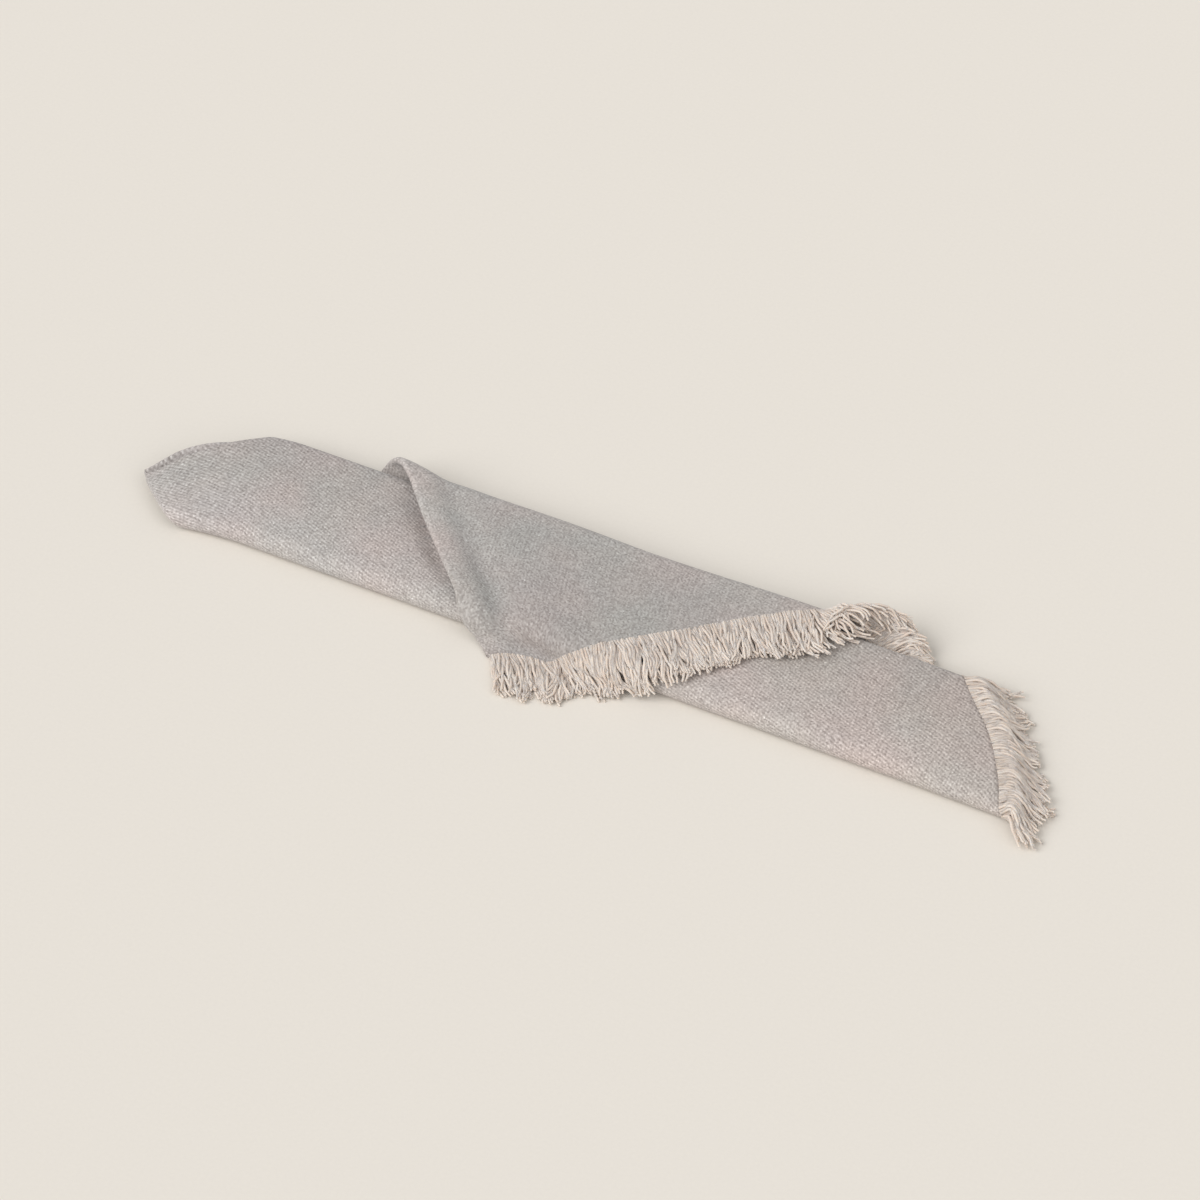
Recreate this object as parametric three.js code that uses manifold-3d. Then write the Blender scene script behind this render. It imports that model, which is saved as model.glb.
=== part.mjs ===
// Fringed cotton napkin, folded in quarters, rolled on the bias and pressed flat. Millimetres, +Z up.
// The roll lies along X with its fringed end at +X. The near side, where the loose corner hangs, is -Y.
// The origin is under the middle of the bounding box, on the surface that the napkin rests on.
import * as THREE from 'three';
import { mergeVertices } from 'three/addons/utils/BufferGeometryUtils.js';
import Module from 'manifold-3d';

const wasm = await Module();
wasm.setup();

const { sin, cos, tan, abs, exp, PI, min, max } = Math;
const { degToRad: rad, lerp: mix, smoothstep: rise } = THREE.MathUtils;
const hump = (x, at, width) => exp(-(((x - at) / width) ** 2));

// The quartered packet. Its fringed open edge is the long one, and a fold closes the short one.
const PACKET = {
  openEdge: 223,
  foldEdge: 204,
  lean: rad(38),
  thick: 1.8,
  cornerCut: 1.5,
};

// The pressed roll: how far one turn lies above the last, and the width of its flats.
const TURN = 2.2;
const FLAT = 37.7;
const NEAR = -FLAT / 2;
const FAR = FLAT / 2;
// The packet's hidden inner end lies in slack folds, so its cloth takes up this share of a flat.
const CORE_REACH = 0.9;

// Middle heights of the packet in each pass, from the surface upward.
const LEVEL = PACKET.thick / 2;
const HEIGHT = {
  underOuter: LEVEL,
  underInner: LEVEL + TURN,
  core: LEVEL + 2 * TURN,
  topInner: LEVEL + 3 * TURN,
  topOuter: LEVEL + 4 * TURN,
};
const NEAR_AXIS = LEVEL + 1.5 * TURN;
const FAR_AXIS = LEVEL + 2 * TURN;

// The loose corner comes down over the near side at this slope and turns out onto the surface.
const DROP = { radius: 2.5 * TURN, slope: rad(75), toeRadius: 5 };

// The passes of the packet, from the loose corner inward: cloth used and steps of the mesh.
const PASSES = [
  { name: 'toe', cloth: 5.8, steps: 2 },
  { name: 'drop', cloth: 14.7, steps: 8 },
  { name: 'topOuter', cloth: 44.1, steps: 6 },
  { name: 'farOuter', cloth: 15, steps: 7 },
  { name: 'underOuter', cloth: 53.2, steps: 4 },
  { name: 'nearOuter', cloth: 10.4, steps: 9 },
  { name: 'topInner', cloth: 37.7, steps: 5 },
  { name: 'farInner', cloth: 6.9, steps: 6 },
  { name: 'underInner', cloth: 37.7, steps: 4 },
  { name: 'nearInner', cloth: 3.5, steps: 6 },
  { name: 'core', cloth: 69.4, steps: 4 },
];
let clothUsed = 0;
for (const pass of PASSES) {
  pass.start = clothUsed;
  clothUsed += pass.cloth;
}

// Slow changes along the roll: each is a soft hump around a place, or a rise between two places.
const LOOSE = {
  peak: { at: -62, width: 13, lift: 5.5, out: 2.2 },
  nearPuff: { at: -20, width: 14, lift: 1.2 },
  farPuff: { from: 20, to: 90, out: 1.6, lift: 0.9 },
  slack: { out: 1, lift: 0.3, widenPerLift: 0.25 },
  flapSag: { cloth: 62, along: 5.1 },
  foldedTip: { from: 88, to: 132, flatten: 0.45, longer: 4, towardNear: 4.9 },
  fringedEnd: { from: 125, to: 190, flatten: 0.42 },
};

// Side walls of the packet: a round fold stands out, and the slot between two folds runs in.
const SIDE = { foldBulge: 0.7, slotDepth: 4, slotRun: 9, shareOfRow: 0.2 };

// Both fringes: the woven head beside the cloth, and loose strands of three sides that thin out.
const FRINGE = {
  gap: 0.95,
  head: 1.9,
  headInset: 0.25,
  rootInHead: 1.3,
  rootDepth: 0.25,
  length: 16,
  steps: 5,
  root: { width: 1.05, height: 0.9 },
  tip: { width: 0.55, height: 0.45 },
  sway: { size: 0.9, over: 6 },
  uneven: { size: 1.1, over: 2.7 },
};

// The heads of the fringes, by the distance along the packet's open edge or along its end.
const FRINGES = [
  { name: 'flap_fringe', edge: 'open', from: 1.8, to: 104, pitch: 1.95 },
  { name: 'far_fringe', edge: 'open', from: 105, to: 134, pitch: 1.95 },
  { name: 'under_fringe', edge: 'open', from: 135, to: 222, pitch: 3.4 },
  { name: 'end_fringe', edge: 'end', from: 1.6, to: 62, pitch: 1.95 },
  { name: 'inner_fringe', edge: 'end', from: 63, to: 189, pitch: 4.2 },
];
const STRAND_FROM_HEAD_END = 1.1;

// Where the flap goes over the far side, its strands spring out and away instead of bending round.
const SPRING = { from: 66, full: 72, fade: 125, end: 132, turn: 9, fall: 0.15 };
// At the fringed end the top strands sink onto the strands below and turn along the roll.
const SINK = { until: 184.4, restHeight: 1.3, from: 4, to: 14, turn: 8, nearTurn: -0.25, farTurn: 0.1 };

const MIDDLE = { x: 30.1, y: -4.9 };
const CLOTH_COLUMNS = 22;
const LEAST_ROW = 0.4;

function looseness(along) {
  const { peak, nearPuff, farPuff, slack, foldedTip, fringedEnd } = LOOSE;
  const peakHump = hump(along, peak.at, peak.width);
  const farRise = rise(along, farPuff.from, farPuff.to);
  const tip = rise(-along, foldedTip.from, foldedTip.to);
  const end = rise(along, fringedEnd.from, fringedEnd.to);
  return {
    out: slack.out + peak.out * peakHump + farPuff.out * farRise,
    farLift: slack.lift + peak.lift * peakHump + farPuff.lift * farRise,
    nearLift: slack.lift + nearPuff.lift * hump(along, nearPuff.at, nearPuff.width),
    keep: 1 - foldedTip.flatten * tip - fringedEnd.flatten * end,
  };
}

// The way down from the flap's near edge, measured from its foot (0) to the top (1).
function dropPoint(share, nearLift) {
  const { slope, toeRadius } = DROP;
  const radius = DROP.radius + nearLift;
  const upper = radius * slope;
  const lower = toeRadius * slope;
  const leaveHeight = NEAR_AXIS + radius * cos(slope);
  const toeDrop = toeRadius * (1 - cos(slope));
  const straight = (leaveHeight - HEIGHT.underOuter - toeDrop) / sin(slope);
  const travelled = (1 - share) * (upper + straight + lower);
  const turned = min(travelled, upper) / radius;
  const ran = min(max(travelled - upper, 0), straight);
  const back = slope - max(travelled - upper - straight, 0) / toeRadius;
  return {
    y: NEAR - radius * sin(turned) - ran * cos(slope) - toeRadius * (sin(slope) - sin(back)),
    z: NEAR_AXIS + radius * cos(turned) - ran * sin(slope) - toeRadius * (cos(back) - cos(slope)),
  };
}

const arc = (y, z, wide, high, angle) => ({ y: y + wide * cos(angle), z: z + high * sin(angle) });

// One pass of the packet across the roll. The share runs from the pass's outer end to its inner end.
function passPoint(name, share, loose) {
  const farEdge = FAR + loose.out;
  const overFar = PI * (0.5 - share);
  const overNear = PI * (1.5 - share);
  if (name === 'toe') {
    const foot = dropPoint(0, loose.nearLift);
    return { y: foot.y - (1 - share) * PASSES[0].cloth, z: HEIGHT.underOuter };
  }
  if (name === 'drop') return dropPoint(share, loose.nearLift);
  if (name === 'topOuter') {
    const lift = mix(loose.nearLift, loose.farLift, rise(share, 0, 1));
    return { y: mix(NEAR, farEdge, share), z: HEIGHT.topOuter + lift };
  }
  if (name === 'farOuter') {
    const high = (HEIGHT.topOuter + loose.farLift - HEIGHT.underOuter) / 2;
    return arc(farEdge, HEIGHT.underOuter + high, 2 * TURN + LOOSE.slack.widenPerLift * loose.farLift, high, overFar);
  }
  if (name === 'underOuter') return { y: mix(farEdge, NEAR, share), z: HEIGHT.underOuter };
  if (name === 'nearOuter') return arc(NEAR, NEAR_AXIS, 1.5 * TURN, 1.5 * TURN, overNear);
  if (name === 'topInner') return { y: mix(NEAR, FAR, share), z: HEIGHT.topInner };
  if (name === 'farInner') return arc(FAR, FAR_AXIS, TURN, TURN, overFar);
  if (name === 'underInner') return { y: mix(FAR, NEAR, share), z: HEIGHT.underInner };
  if (name === 'nearInner') return arc(NEAR, NEAR_AXIS, 0.5 * TURN, 0.5 * TURN, overNear);
  return { y: mix(NEAR, FAR, share * CORE_REACH), z: HEIGHT.core };
}

function passAt(inward) {
  let found = PASSES[0];
  for (const pass of PASSES) if (inward >= pass.start) found = pass;
  return found;
}

// Middle of the packet at a place along the roll and a length of cloth inward from the loose corner.
function middle(along, inward) {
  const loose = looseness(along);
  const pass = passAt(inward);
  const point = passPoint(pass.name, (inward - pass.start) / pass.cloth, loose);
  const { flapSag, foldedTip } = LOOSE;
  const sag = flapSag.along * (1 - rise(inward, 0, flapSag.cloth));
  const atTip = rise(-along, foldedTip.from, foldedTip.to);
  const x = along + sag - foldedTip.longer * atTip - MIDDLE.x;
  const y = point.y - foldedTip.towardNear * atTip - MIDDLE.y;
  const z = HEIGHT.underOuter + (point.z - HEIGHT.underOuter) * loose.keep;
  return new THREE.Vector3(x, y, z);
}

const STEP = 0.05;
const FLOOR_SNAP = 1e-6;
const inwardRun = (along, inward) =>
  middle(along, inward + STEP).sub(middle(along, inward - STEP)).normalize();

function outward(along, inward) {
  const alongRun = middle(along + STEP, inward).sub(middle(along - STEP, inward)).normalize();
  return alongRun.cross(inwardRun(along, inward)).normalize();
}

// A point of the packet at a height above its middle layer, counted away from the roll's core.
const place = (along, inward, height) =>
  middle(along, inward).addScaledVector(outward(along, inward), height);

// The quartered packet laid flat: distances along its open edge and along its folded edge.
const flat = (open, folded) => ({
  along: open * cos(PACKET.lean) - folded * sin(PACKET.lean),
  inward: open * sin(PACKET.lean) + folded * cos(PACKET.lean),
});

// Points beside the two fringed edges, at a distance out from the cloth.
const openEdgePoint = (station, out) => flat(station, -out);
const endPoint = (station, out) => flat(PACKET.openEdge + out, station);

// Left and right sides of the packet's row, and how far the left wall stands out at mid height.
function sidesAt(inward) {
  const { openEdge, foldEdge, lean } = PACKET;
  const tip = flat(0, foldEdge);
  const end = flat(openEdge, 0);
  const past = inward - tip.inward;
  const left = past <= 0 ? -inward * tan(lean) : tip.along + past / tan(lean);
  const right = inward <= end.inward ? inward / tan(lean) : end.along - (inward - end.inward) * tan(lean);
  const bulge = past <= 0 ? SIDE.foldBulge : -SIDE.slotDepth * rise(past, 0, SIDE.slotRun);
  return { left, right, bulge: max(bulge, (left - right) * SIDE.shareOfRow) };
}

// Places of the mesh's rows: even steps in each pass, plus the two corners of the packet.
function clothRows() {
  const { openEdge, foldEdge, cornerCut } = PACKET;
  const last = flat(openEdge, foldEdge).inward - cornerCut;
  const rows = [cornerCut, flat(0, foldEdge).inward, flat(openEdge, 0).inward, last];
  for (const { start, cloth, steps } of PASSES) {
    for (let i = 0; i < steps; i++) rows.push(start + (cloth * i) / steps);
  }
  rows.sort((a, b) => a - b);
  return rows.filter((row, i) => row >= cornerCut && row <= last && (i === 0 || row - rows[i - 1] > LEAST_ROW));
}

function closedMesh(points, faces) {
  const geometry = new THREE.BufferGeometry();
  const position = points.flatMap(({ x, y, z }) => [x, y, abs(z) < FLOOR_SNAP ? 0 : z]);
  geometry.setAttribute('position', new THREE.Float32BufferAttribute(position, 3));
  geometry.setIndex(faces);
  return geometry;
}

// A closed skin round a run of rings of equal size. Its ends are left open for the caps.
function skin(rings) {
  const size = rings[0].length;
  const faces = [];
  for (let ring = 0; ring + 1 < rings.length; ring++) {
    for (let i = 0; i < size; i++) {
      const here = ring * size;
      const next = (i + 1) % size;
      faces.push(here + i, here + size + next, here + next);
      faces.push(here + i, here + size + i, here + size + next);
    }
  }
  return { points: rings.flat(), faces, size, lastRing: (rings.length - 1) * size };
}

// The packet as one wound sheet. A ring runs along its inner face and back along its outer one.
function clothGeometry() {
  const half = PACKET.thick / 2;
  const rings = clothRows().map((inward) => {
    const { left, right, bulge } = sidesAt(inward);
    const row = (i, height) => place(mix(left, right, i / CLOTH_COLUMNS), inward, height);
    const ring = [place(left - bulge, inward, 0)];
    for (let i = 0; i <= CLOTH_COLUMNS; i++) ring.push(row(i, -half));
    for (let i = CLOTH_COLUMNS; i >= 0; i--) ring.push(row(i, half));
    return ring;
  });
  const { points, faces, size, lastRing } = skin(rings);
  const cap = (a, b, c) => {
    faces.push(a, b, c);
    faces.push(lastRing + a, lastRing + c, lastRing + b);
  };
  cap(0, 1, size - 1);
  for (let i = 1; i <= CLOTH_COLUMNS; i++) {
    cap(i, i + 1, size - i);
    cap(i + 1, size - i - 1, size - i);
  }
  return closedMesh(points, faces);
}

// A bar of convex rings with fan caps.
function barGeometry(rings) {
  const { points, faces, size, lastRing } = skin(rings);
  for (let i = 1; i + 1 < size; i++) {
    faces.push(0, i, i + 1);
    faces.push(lastRing, lastRing + i + 1, lastRing + i);
  }
  return closedMesh(points, faces);
}

// The woven head of a fringe: a narrow strip beside the packet's edge, with the cloth's own rows.
function headGeometry({ from, to }, edgePoint) {
  const half = PACKET.thick / 2 - FRINGE.headInset;
  const first = edgePoint(0, 0).inward;
  const perStation = edgePoint(1, 0).inward - first;
  const stations = clothRows().map((inward) => (inward - first) / perStation);
  const inside = stations.filter((station) => station > from + LEAST_ROW && station < to - LEAST_ROW);
  const rings = [from, ...inside, to].map((station) => {
    const inner = edgePoint(station, FRINGE.gap);
    const outer = edgePoint(station, FRINGE.gap + FRINGE.head);
    return [
      place(inner.along, inner.inward, -half),
      place(outer.along, outer.inward, -half),
      place(outer.along, outer.inward, half),
      place(inner.along, inner.inward, half),
    ];
  });
  return barGeometry(rings);
}

// The lowest point of the packet at a place, which a strand lies on. Its root sits higher, in the head.
function underPoint({ along, inward }, isRoot) {
  const out = outward(along, inward);
  const depth = (isRoot ? FRINGE.rootDepth : 0.5) * PACKET.thick;
  return middle(along, inward).addScaledVector(out, -depth * out.z);
}

// A strand with a flat underside on the given path.
function strandGeometry(path) {
  const { root, tip } = FRINGE;
  const rings = path.map((point, i) => {
    const share = i / (path.length - 1);
    const ahead = path[min(i + 1, path.length - 1)].clone().sub(path[max(i - 1, 0)]).normalize();
    const side = ahead.clone().cross(new THREE.Vector3(0, 0, 1)).normalize();
    const up = side.clone().cross(ahead);
    const halfWidth = mix(root.width, tip.width, share) / 2;
    return [
      point.clone().addScaledVector(side, -halfWidth),
      point.clone().addScaledVector(side, halfWidth),
      point.clone().addScaledVector(up, mix(root.height, tip.height, share)),
    ];
  });
  return barGeometry(rings);
}

const swayAt = (station, share) => FRINGE.sway.size * sin(station / FRINGE.sway.over) * share ** 2;
const lengthAt = (station) => FRINGE.length + FRINGE.uneven.size * sin(station / FRINGE.uneven.over);

// Strand lengths from the cloth's edge: the root inside the head, then even steps to the tip.
function reaches(station) {
  const start = FRINGE.gap + FRINGE.rootInHead;
  const end = lengthAt(station);
  return Array.from({ length: FRINGE.steps + 1 }, (_, i) => mix(start, end, i / FRINGE.steps));
}

// A free path from the root, which turns from its first direction to its last within the given run.
function freePath(root, out, first, last, turn) {
  const point = underPoint(root, true);
  return out.map((reach, i) => {
    const step = i === 0 ? 0 : reach - out[i - 1];
    point.addScaledVector(first.clone().lerp(last, rise(reach - out[0], 0, turn)).normalize(), step);
    return point.clone();
  });
}

// From the open edge, strands follow the turns below them, or spring out over the far side.
function openEdgeStrand(station) {
  const out = reaches(station);
  const root = openEdgePoint(station, out[0]);
  const springs = rise(root.inward, SPRING.from, SPRING.full) * (1 - rise(root.inward, SPRING.fade, SPRING.end));
  const sideways = new THREE.Vector3(sin(PACKET.lean), 0, 0);
  const first = inwardRun(root.along, root.inward).multiplyScalar(-cos(PACKET.lean)).add(sideways);
  const last = new THREE.Vector3(0, cos(PACKET.lean), -SPRING.fall).add(sideways);
  const sprung = freePath(root, out, first, last, SPRING.turn);
  return out.map((reach, i) => {
    const along = station + swayAt(station, i / FRINGE.steps);
    const point = underPoint(openEdgePoint(along, reach), i === 0).lerp(sprung[i], springs);
    point.z = max(point.z, 0);
    return point;
  });
}

// At the fringed end, strands inside the roll follow its turns, and the top ones sink and turn.
function endStrand(station) {
  const out = reaches(station);
  const root = endPoint(station, out[0]);
  if (root.inward > SINK.until) return out.map((reach, i) => underPoint(endPoint(station, reach), i === 0));
  const turn = mix(SINK.nearTurn, SINK.farTurn, rise(root.inward, endPoint(0, 0).inward, SINK.until));
  const first = inwardRun(root.along, root.inward).multiplyScalar(sin(PACKET.lean));
  first.x += cos(PACKET.lean);
  const last = new THREE.Vector3(1, turn, 0).normalize();
  return freePath(root, out, first, last, SINK.turn).map((point, i) => {
    point.z = mix(point.z, SINK.restHeight, rise(out[i] - out[0], SINK.from, SINK.to));
    return point;
  });
}

function solid(geometry) {
  const merged = mergeVertices(geometry, 1e-5);
  return new wasm.Manifold(new wasm.Mesh({
    numProp: 3,
    vertProperties: merged.attributes.position.array,
    triVerts: new Uint32Array(merged.index.array),
  }));
}

function geometryOf(manifold) {
  const mesh = manifold.getMesh();
  const geometry = new THREE.BufferGeometry();
  geometry.setAttribute('position', new THREE.BufferAttribute(mesh.vertProperties, 3));
  geometry.setIndex(new THREE.BufferAttribute(mesh.triVerts, 1));
  return geometry;
}

const EDGES = {
  open: { edgePoint: openEdgePoint, strandPath: openEdgeStrand },
  end: { edgePoint: endPoint, strandPath: endStrand },
};

function fringeGeometry(row) {
  const { edgePoint, strandPath } = EDGES[row.edge];
  let fringe = solid(headGeometry(row, edgePoint));
  const last = row.to - STRAND_FROM_HEAD_END;
  for (let station = row.from + STRAND_FROM_HEAD_END; station <= last; station += row.pitch) {
    fringe = fringe.add(solid(strandGeometry(strandPath(station))));
  }
  return geometryOf(fringe);
}

function piece(name, geometry, material) {
  const mesh = new THREE.Mesh(geometry, material);
  mesh.name = name;
  return mesh;
}

const wovenCloth = new THREE.MeshStandardMaterial({ color: 0xb2aaa4, roughness: 0.92, metalness: 0 });
const creamYarn = new THREE.MeshStandardMaterial({ color: 0xc4b8ac, roughness: 0.95, metalness: 0 });

const napkin = new THREE.Group();
napkin.add(piece('rolled_cloth', clothGeometry(), wovenCloth));
for (const row of FRINGES) napkin.add(piece(row.name, fringeGeometry(row), creamYarn));

export default napkin;
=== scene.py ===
# Fringed cotton napkin, folded in quarters, rolled on the bias and pressed flat.
# Shapes are worked out in millimetres and become metres when a mesh is made.
import math

import bpy
import numpy as np
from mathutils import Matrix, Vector


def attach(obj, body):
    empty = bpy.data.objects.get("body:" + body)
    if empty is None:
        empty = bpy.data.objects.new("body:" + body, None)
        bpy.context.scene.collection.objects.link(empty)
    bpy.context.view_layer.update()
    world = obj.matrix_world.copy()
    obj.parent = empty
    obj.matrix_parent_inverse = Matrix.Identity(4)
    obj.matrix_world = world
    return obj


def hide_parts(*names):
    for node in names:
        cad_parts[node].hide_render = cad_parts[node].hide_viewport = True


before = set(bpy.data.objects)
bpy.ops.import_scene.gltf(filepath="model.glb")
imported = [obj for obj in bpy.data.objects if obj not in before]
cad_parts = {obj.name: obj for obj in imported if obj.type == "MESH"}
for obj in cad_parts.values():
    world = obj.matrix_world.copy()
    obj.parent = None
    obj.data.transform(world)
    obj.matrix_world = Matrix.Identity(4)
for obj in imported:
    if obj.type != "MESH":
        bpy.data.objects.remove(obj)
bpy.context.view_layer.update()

MM = 0.001

# Sizes of the packet and the roll.

# The quartered packet: its long open edge, and its round fold, as long as its short open edge.
OPEN_EDGE = 223.0
FOLD_EDGE = 204.0
# The roll's axis leans this far from the open edge.
LEAN = math.radians(38)
COS, SIN = math.cos(LEAN), math.sin(LEAN)
PACKET_THICK = 1.8
CORNER_CUT = 0.6

# Four plies of cloth, from the outside of the roll inward, and the sheet's own thickness.
PLY_HEIGHTS = tuple(PACKET_THICK * eighths / 8 for eighths in (3, 1, -1, -3))
CLOTH_THICK = 0.38

# The pressed roll: how far one turn lies above the last, and the width of its flats.
TURN = 2.2
FLAT = 37.7
NEAR, FAR = -FLAT / 2, FLAT / 2
# The innermost pass stops at this share of the way across.
CORE_REACH = 0.9
# Heights of the passes' middles, and of the axes that they turn about.
LEVEL = PACKET_THICK / 2
UNDER_OUTER = LEVEL
UNDER_INNER = LEVEL + TURN
CORE = LEVEL + 2 * TURN
TOP_INNER = LEVEL + 3 * TURN
TOP_OUTER = LEVEL + 4 * TURN
NEAR_AXIS = LEVEL + 1.5 * TURN
FAR_AXIS = LEVEL + 2 * TURN
# The flap's way down over the near side: a round turn, a steep slope and a foot that turns level.
DROP_RADIUS = 2.5 * TURN
DROP_SLOPE = math.radians(75)
TOE_RADIUS = 5.0
# The place along and across the roll that comes to the frame's origin.
MIDDLE_OF_BOX = (30.1, -4.9)

# The passes of the packet, from the loose corner inward: cloth used and rows of the mesh.
PASSES = (
    ("toe", 5.8, 5),
    ("drop", 14.7, 14),
    ("top_outer", 44.1, 22),
    ("far_outer", 15.0, 14),
    ("under_outer", 53.2, 12),
    ("near_outer", 10.4, 12),
    ("top_inner", 37.7, 18),
    ("far_inner", 6.9, 10),
    ("under_inner", 37.7, 8),
    ("near_inner", 3.5, 6),
    ("core", 69.4, 9),
)
TOE_CLOTH = PASSES[0][1]
STARTS = np.cumsum([0.0] + [cloth for _, cloth, _ in PASSES])
START_OF = {name: start for (name, _, _), start in zip(PASSES, STARTS)}

# Slack of the outer turn along the roll. The flap's round fold stands up where it goes over the far side.
PEAK_AT = -60.0
PEAK_WIDTHS = (14, 23)
PEAK_SHARE, RIDGE_SHARE, RIDGE_WIDTH = 0.56, 0.24, 38
END_RISE = (20, 90)
# Slack everywhere, more at the peak, and more towards the fringed end.
OUT_SLACK = (1.0, 2.2, 1.6)
FAR_LIFT = (0.3, 5.2, 0.9)
NEAR_LIFT, NEAR_HUMP, NEAR_HUMP_AT, NEAR_HUMP_WIDTH = 0.3, 1.2, -20, 14
# The roll loses height towards both ends, and its top slopes down softly towards the near side.
TIP_FROM, TIP_FULL, TIP_LOSS = 88, 132, 0.45
END_FROM, END_FULL, END_LOSS = 125, 190, 0.42
NEAR_SLOPE_FROM, NEAR_SLOPE_RUN, NEAR_SLOPE_FALL = 3.0, 23.0, 0.2
# The tip is drawn this far to the left and to the near side.
TIP_LEFT, TIP_NEAR = 4.0, 4.9
# The flap leans along the roll towards its corner, over this length of cloth.
FLAP_LEAN, FLAP_LEAN_CLOTH = 5.1, 62
# The body lies this much cloth farther in than the flap above it.
BODY_FROM = 122.7


# The wound packet.

def mix(a, b, share):
    return a + (b - a) * share


def rise(x, start, end):
    """A soft step from 0 at the start to 1 at the end."""
    share = np.clip((np.asarray(x, float) - start) / (end - start), 0, 1)
    return share * share * (3 - 2 * share)


def window(x, starts, full, fades, gone):
    return rise(x, starts, full) * (1 - rise(x, fades, gone))


def hump(x, at, width):
    return np.exp(-(((x - at) / width) ** 2))


def humps(x, places):
    """The sum of soft humps, each given as (place, width, height)."""
    return sum(height * hump(x, at, width) for at, width, height in places)


def smooth_through(x, stops):
    """A curve that passes near the given (place, value) pairs."""
    places, values = zip(*stops)
    return sum(np.interp(x + shift, places, values) for shift in (-2.0, -1.0, 0.0, 1.0, 2.0)) / 5


def unit(vectors):
    return vectors / np.linalg.norm(vectors, axis=-1, keepdims=True)


def folded_tip(along):
    return rise(-along, TIP_FROM, TIP_FULL)


def looseness(along):
    """Slow changes along the roll: slack at the far and near sides, and how much of its height is kept."""
    peak = PEAK_SHARE * hump(along, PEAK_AT, np.where(along < PEAK_AT, *PEAK_WIDTHS))
    peak = peak + RIDGE_SHARE * hump(along, 0, RIDGE_WIDTH)
    to_end = rise(along, *END_RISE)

    def slack(everywhere, at_peak, at_end):
        return everywhere + at_peak * peak + at_end * to_end

    return {
        "out": slack(*OUT_SLACK),
        "far_lift": slack(*FAR_LIFT),
        "near_lift": NEAR_LIFT + NEAR_HUMP * hump(along, NEAR_HUMP_AT, NEAR_HUMP_WIDTH),
        "keep": 1 - TIP_LOSS * folded_tip(along) - END_LOSS * rise(along, END_FROM, END_FULL),
    }


def drop_point(share, near_lift):
    """The way down from the flap's near edge, measured from its foot (0) to the top (1)."""
    radius = DROP_RADIUS + near_lift
    upper = radius * DROP_SLOPE
    lower = TOE_RADIUS * DROP_SLOPE
    leave_height = NEAR_AXIS + radius * math.cos(DROP_SLOPE)
    toe_drop = TOE_RADIUS * (1 - math.cos(DROP_SLOPE))
    straight = (leave_height - UNDER_OUTER - toe_drop) / math.sin(DROP_SLOPE)
    travelled = (1 - share) * (upper + straight + lower)
    turned = np.minimum(travelled, upper) / radius
    ran = np.clip(travelled - upper, 0, straight)
    back = DROP_SLOPE - np.maximum(travelled - upper - straight, 0) / TOE_RADIUS
    y = NEAR - radius * np.sin(turned) - ran * math.cos(DROP_SLOPE)
    z = NEAR_AXIS + radius * np.cos(turned) - ran * math.sin(DROP_SLOPE)
    y = y - TOE_RADIUS * (math.sin(DROP_SLOPE) - np.sin(back))
    z = z - TOE_RADIUS * (np.cos(back) - math.cos(DROP_SLOPE))
    return y, z


def turn_point(y, z, wide, high, angle):
    return y + wide * np.cos(angle), z + high * np.sin(angle)


def pass_point(name, share, loose):
    """One pass of the packet across the roll. The share runs from its outer end to its inner end."""
    far_edge = FAR + loose["out"]
    over_far = math.pi * (0.5 - share)
    over_near = math.pi * (1.5 - share)
    level = np.zeros_like(share)
    if name == "toe":
        y, _ = drop_point(0, loose["near_lift"])
        return y - (1 - share) * TOE_CLOTH, level + UNDER_OUTER
    if name == "drop":
        return drop_point(share, loose["near_lift"])
    if name == "top_outer":
        lift = mix(loose["near_lift"], loose["far_lift"], rise(share, 0, 1))
        return mix(NEAR, far_edge, share), TOP_OUTER + lift
    if name == "far_outer":
        high = (TOP_OUTER + loose["far_lift"] - UNDER_OUTER) / 2
        wide = 2 * TURN + loose["far_lift"] / 4
        return turn_point(far_edge, UNDER_OUTER + high, wide, high, over_far)
    if name == "under_outer":
        return mix(far_edge, NEAR, share), level + UNDER_OUTER
    if name == "near_outer":
        return turn_point(NEAR, NEAR_AXIS, 1.5 * TURN, 1.5 * TURN, over_near)
    if name == "top_inner":
        return mix(NEAR, FAR, share), level + TOP_INNER
    if name == "far_inner":
        return turn_point(FAR, FAR_AXIS, TURN, TURN, over_far)
    if name == "under_inner":
        return mix(FAR, NEAR, share), level + UNDER_INNER
    if name == "near_inner":
        return turn_point(NEAR, NEAR_AXIS, 0.5 * TURN, 0.5 * TURN, over_near)
    return mix(NEAR, FAR, share * CORE_REACH), level + CORE


def middle(along, inward):
    """Middle of the packet at a place along the roll and a length of cloth inward from the corner."""
    along, inward = np.broadcast_arrays(np.asarray(along, float), np.asarray(inward, float))
    loose = looseness(along)
    which = np.clip(np.searchsorted(STARTS, inward, side="right") - 1, 0, len(PASSES) - 1)
    y, z = np.zeros(along.shape), np.zeros(along.shape)
    for number, (name, cloth, _) in enumerate(PASSES):
        here = which == number
        share = (inward[here] - STARTS[number]) / cloth
        y[here], z[here] = pass_point(name, share, {key: value[here] for key, value in loose.items()})
    tip = folded_tip(along)
    x = along + FLAP_LEAN * (1 - rise(inward, 0, FLAP_LEAN_CLOTH)) - TIP_LEFT * tip - MIDDLE_OF_BOX[0]
    toward_near = np.clip((-y - NEAR_SLOPE_FROM) / NEAR_SLOPE_RUN, 0, 1)
    z = LEVEL + (z - LEVEL) * loose["keep"] * (1 - NEAR_SLOPE_FALL * toward_near ** 2)
    y = y - TIP_NEAR * tip - MIDDLE_OF_BOX[1]
    return np.stack([x, y, z], axis=-1)


# A direction of the packet is read between two points this far to either side.
NUDGE = 0.05


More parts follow.
